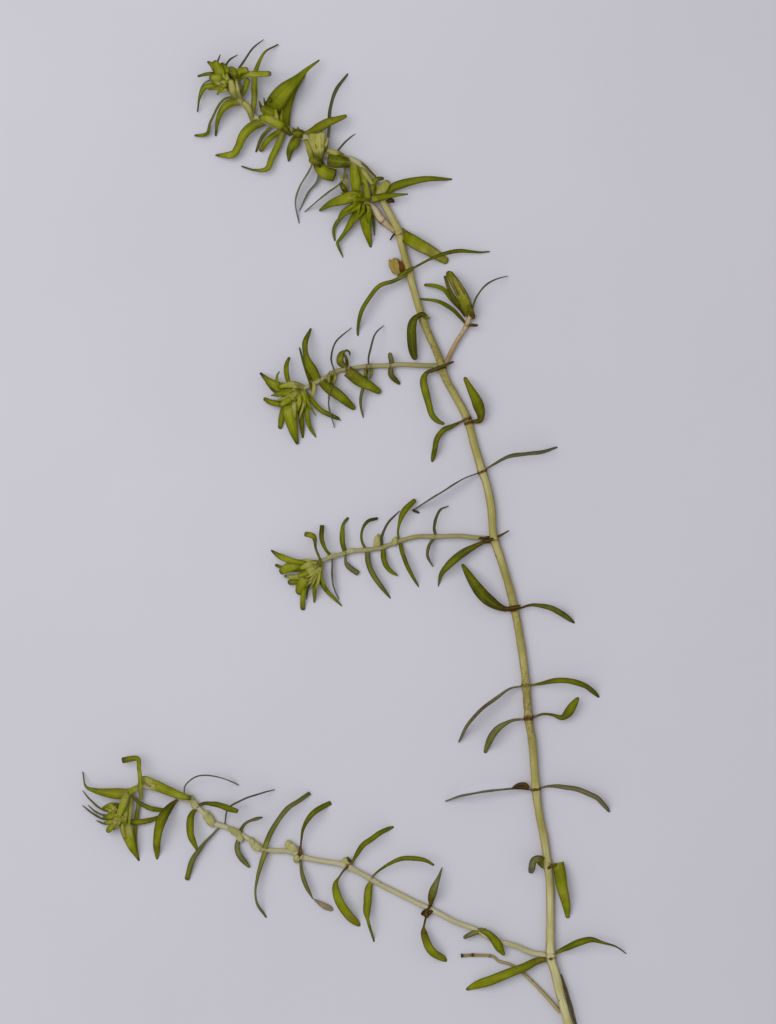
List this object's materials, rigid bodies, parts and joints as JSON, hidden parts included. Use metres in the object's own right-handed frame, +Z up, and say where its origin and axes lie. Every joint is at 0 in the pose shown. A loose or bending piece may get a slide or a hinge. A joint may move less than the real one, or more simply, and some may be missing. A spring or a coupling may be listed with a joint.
{
  "type": "water starwort",
  "caption": "Torn-off spray of water starwort lying flat: thin pale stems with narrow green leaves in opposite pairs, leafy side branches and rosette tips.",
  "frame": {"origin": "under the middle of the spray's box, on the surface it lies on", "axes": "+Z up, +Y from the cut end of the main stem towards the growing tip, +X to the right seen from above"},
  "size_m": [0.078, 0.144, 0.0035],
  "materials": {
    "stem": "wet, pale straw green",
    "pale_stem": "wet, pale olive",
    "leaf": "wet, dark olive green",
    "bright_leaf": "wet, yellow green",
    "young_leaf": "wet, bright yellow green",
    "dead_stem": "dull tan brown"
  },
  "bodies": {
    "root": {"broken_shoot": "dead_stem", "growing_tip": "young_leaf", "leaf_00_right": "leaf", "leaf_01_left": "bright_leaf", "leaf_01_right": "leaf", "leaf_02_left": "leaf", "leaf_02_right": "bright_leaf", "leaf_03_left": "leaf", "leaf_03_right": "leaf", "leaf_04_left": "leaf", "leaf_04_right": "leaf", "leaf_05_left": "leaf", "leaf_05_right": "leaf", "leaf_06_left": "leaf", "leaf_06_right": "leaf", "leaf_07_left": "leaf", "leaf_08_left": "leaf", "leaf_08_right": "leaf", "leaf_09_left": "leaf", "leaf_09_right": "leaf", "leaf_10_left": "leaf", "leaf_11_left": "leaf", "leaf_12_left": "leaf", "leaf_12_right": "leaf", "leaf_13_right": "bright_leaf", "leaf_14_right_a": "leaf", "leaf_14_right_b": "leaf", "lower_branch": "stem", "lower_leaf_00_left": "leaf", "lower_leaf_00_right": "leaf", "lower_leaf_01_lower": "bright_leaf", "lower_leaf_01_upper": "leaf", "lower_leaf_02_lower": "leaf", "lower_leaf_02_upper": "leaf", "lower_leaf_03_lower": "bright_leaf", "lower_leaf_03_upper": "leaf", "lower_leaf_04_lower": "leaf", "lower_leaf_04_upper": "leaf", "lower_leaf_05_lower": "leaf", "lower_leaf_05_upper": "leaf", "lower_leaf_06_lower": "leaf", "lower_leaf_06_upper": "leaf", "lower_leaf_07_lower": "leaf", "lower_leaf_07_upper": "leaf", "lower_leaf_08_lower": "leaf", "lower_leaf_08_upper": "leaf", "lower_leaf_09_lower": "leaf", "lower_leaf_09_upper": "leaf", "lower_tip": "young_leaf", "main_stem": "stem", "middle_branch": "pale_stem", "middle_tip": "young_leaf", "right_shoot": "bright_leaf", "side_shoot": "bright_leaf", "top_leaf_1": "leaf", "top_leaf_2": "leaf", "top_leaf_3": "bright_leaf", "top_leaf_4": "bright_leaf", "upper_branch": "pale_stem", "upper_tip": "young_leaf"}
  },
  "joints": []
}
